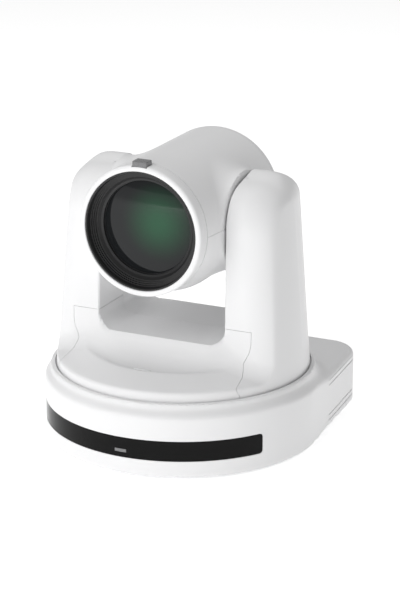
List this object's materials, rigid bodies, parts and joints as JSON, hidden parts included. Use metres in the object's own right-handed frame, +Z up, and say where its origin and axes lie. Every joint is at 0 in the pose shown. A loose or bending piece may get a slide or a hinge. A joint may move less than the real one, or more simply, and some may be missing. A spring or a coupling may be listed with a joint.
{
  "type": "ptz camera",
  "caption": "Indoor pan, tilt and zoom camera: round base with a dark window band, a turntable yoke and a barrel-shaped tilting lens head.",
  "frame": {"origin": "mouth of the tripod thread in the underside, on the pan axis", "axes": "+Z is up, along the pan axis. -Y is the front, where the lens looks at rest. +X is the side of the arm that holds the tilt motor, on the right of someone who faces the lens"},
  "size_m": [0.16, 0.1848, 0.1757],
  "materials": {
    "white_plastic": "satin moulded",
    "gloss_black": "polished",
    "lens_black": "fine matt grooves",
    "coated_glass": "coated",
    "lamp_plastic": "translucent satin",
    "rubber": "matt",
    "sheet_steel": "zinc plated",
    "aluminium": "die cast",
    "brass": "turned",
    "dark_plastic": "fine grain",
    "circuit_board": "solder resist",
    "chip_black": "matt",
    "belt_rubber": "matt",
    "nylon": "natural",
    "motor_black": "satin"
  },
  "bodies": {
    "base": {"base_cover": "white_plastic", "ir_window": "gloss_black", "status_lens": "lamp_plastic", "bottom_plate": "sheet_steel", "rubber_feet": "rubber", "tripod_bush": "brass", "rear_panel": "dark_plastic", "dc_jack": "dark_plastic", "lan_port": "sheet_steel", "control_port": "sheet_steel", "hdmi_port": "sheet_steel", "sdi_connector": "sheet_steel", "audio_jack": "dark_plastic", "io_board": "circuit_board", "main_board": "circuit_board", "processor": "chip_black", "heat_sink": "aluminium", "ir_board": "circuit_board", "pan_post": "aluminium", "pan_bearing_inner": "sheet_steel", "retaining_ring": "sheet_steel", "pan_motor": "motor_black", "pan_belt": "belt_rubber", "base_screws": "sheet_steel"},
    "pan_drive": {"pan_motor_shaft": "sheet_steel", "pan_pinion": "nylon"},
    "turntable": {"turntable_plate": "sheet_steel", "pan_hub": "aluminium", "pan_pulley": "nylon", "pan_bearing_outer": "sheet_steel", "yoke_frame": "sheet_steel", "yoke_cover": "white_plastic", "yoke_front_cover": "white_plastic", "left_arm_panel": "white_plastic", "right_arm_panel": "white_plastic", "tilt_bearings": "sheet_steel", "tilt_motor": "motor_black", "tilt_belt": "belt_rubber", "drive_board": "circuit_board", "index_mark": "white_plastic", "yoke_screws": "sheet_steel"},
    "tilt_drive": {"tilt_motor_shaft": "sheet_steel", "tilt_pinion": "nylon"},
    "head": {"head_upper_cover": "white_plastic", "head_lower_cover": "white_plastic", "head_rear_cover": "white_plastic", "front_bezel": "white_plastic", "lens_hood": "lens_black", "front_glass": "coated_glass", "tally_lamp": "lamp_plastic", "head_frame": "aluminium", "tilt_shafts": "sheet_steel", "tilt_pulley": "nylon", "lens_barrel": "dark_plastic", "guide_rods": "sheet_steel", "sensor_board": "circuit_board", "zoom_motor": "motor_black", "head_screws": "sheet_steel"},
    "zoom": {"zoom_group": "dark_plastic"},
    "focus": {"focus_group": "dark_plastic"}
  },
  "joints": [
    {"name": "pan", "type": "hinge", "parent": "base", "child": "turntable", "pos_m": [0, 0, 0.045], "axis": [0, 0, 1], "range_deg": [-175, 175]},
    {"name": "pan_pinion_spin", "type": "hinge", "parent": "base", "child": "pan_drive", "pos_m": [0, 0.06, 0.022], "axis": [0, 0, 1], "range_deg": [-790, 790]},
    {"name": "tilt", "type": "hinge", "parent": "turntable", "child": "head", "pos_m": [0, 0, 0.131], "axis": [-1, 0, 0], "range_deg": [-30, 90]},
    {"name": "tilt_pinion_spin", "type": "hinge", "parent": "turntable", "child": "tilt_drive", "pos_m": [0.05, 0, 0.084], "axis": [-1, 0, 0], "range_deg": [-91, 271]},
    {"name": "zoom_slide", "type": "slide", "parent": "head", "child": "zoom", "axis": [0, 1, 0], "range_m": [0, 0.016]},
    {"name": "focus_slide", "type": "slide", "parent": "head", "child": "focus", "axis": [0, 1, 0], "range_m": [-0.003, 0.003]}
  ],
  "couplings": [
    {"joint": "pan_pinion_spin", "follows": "pan", "ratio": 4.5},
    {"joint": "tilt_pinion_spin", "follows": "tilt", "ratio": 3}
  ]
}
